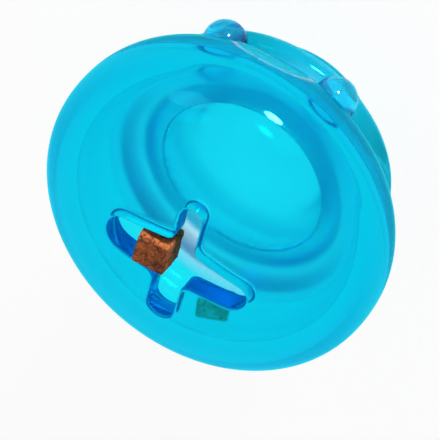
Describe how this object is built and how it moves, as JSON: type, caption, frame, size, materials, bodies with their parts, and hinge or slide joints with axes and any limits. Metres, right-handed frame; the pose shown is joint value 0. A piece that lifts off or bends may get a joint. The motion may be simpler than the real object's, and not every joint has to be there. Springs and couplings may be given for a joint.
{
  "type": "dog chew toy",
  "caption": "Hollow translucent rubber treat ball for dogs with a cross-shaped mouth, a grooved and flanged rear shell and baked treats inside.",
  "frame": {"origin": "centre of the small flat at the back that the toy stands on", "axes": "+Z along the toy's axis, out through the cross-shaped mouth; -Y towards the flat on the rim and the two studs beside it; the mouth's arms lie along X and Y"},
  "size_m": [0.11, 0.11, 0.0883],
  "materials": {
    "blue_rubber": "clear tinted, polished",
    "stud_rubber": "clear tinted, polished",
    "cured_bond": "crazed clear film",
    "baked_treat": "rough baked crumb"
  },
  "bodies": {
    "toy_body": {"front_shell": "blue_rubber", "rear_shell": "blue_rubber", "bond_ring": "cured_bond", "stud_left": "stud_rubber", "stud_right": "stud_rubber"},
    "held_treat": {"held_treat": "baked_treat"},
    "loose_treat": {"loose_treat": "baked_treat"}
  },
  "joints": [
    {"name": "held_treat_slide", "type": "slide", "parent": "toy_body", "child": "held_treat", "axis": [0, 0, 1], "range_m": [-0.069, 0.0125]},
    {"name": "loose_treat_roll", "type": "hinge", "parent": "toy_body", "child": "loose_treat", "pos_m": [0, 0, 0.05], "axis": [0, 0, 1], "continuous": true}
  ]
}
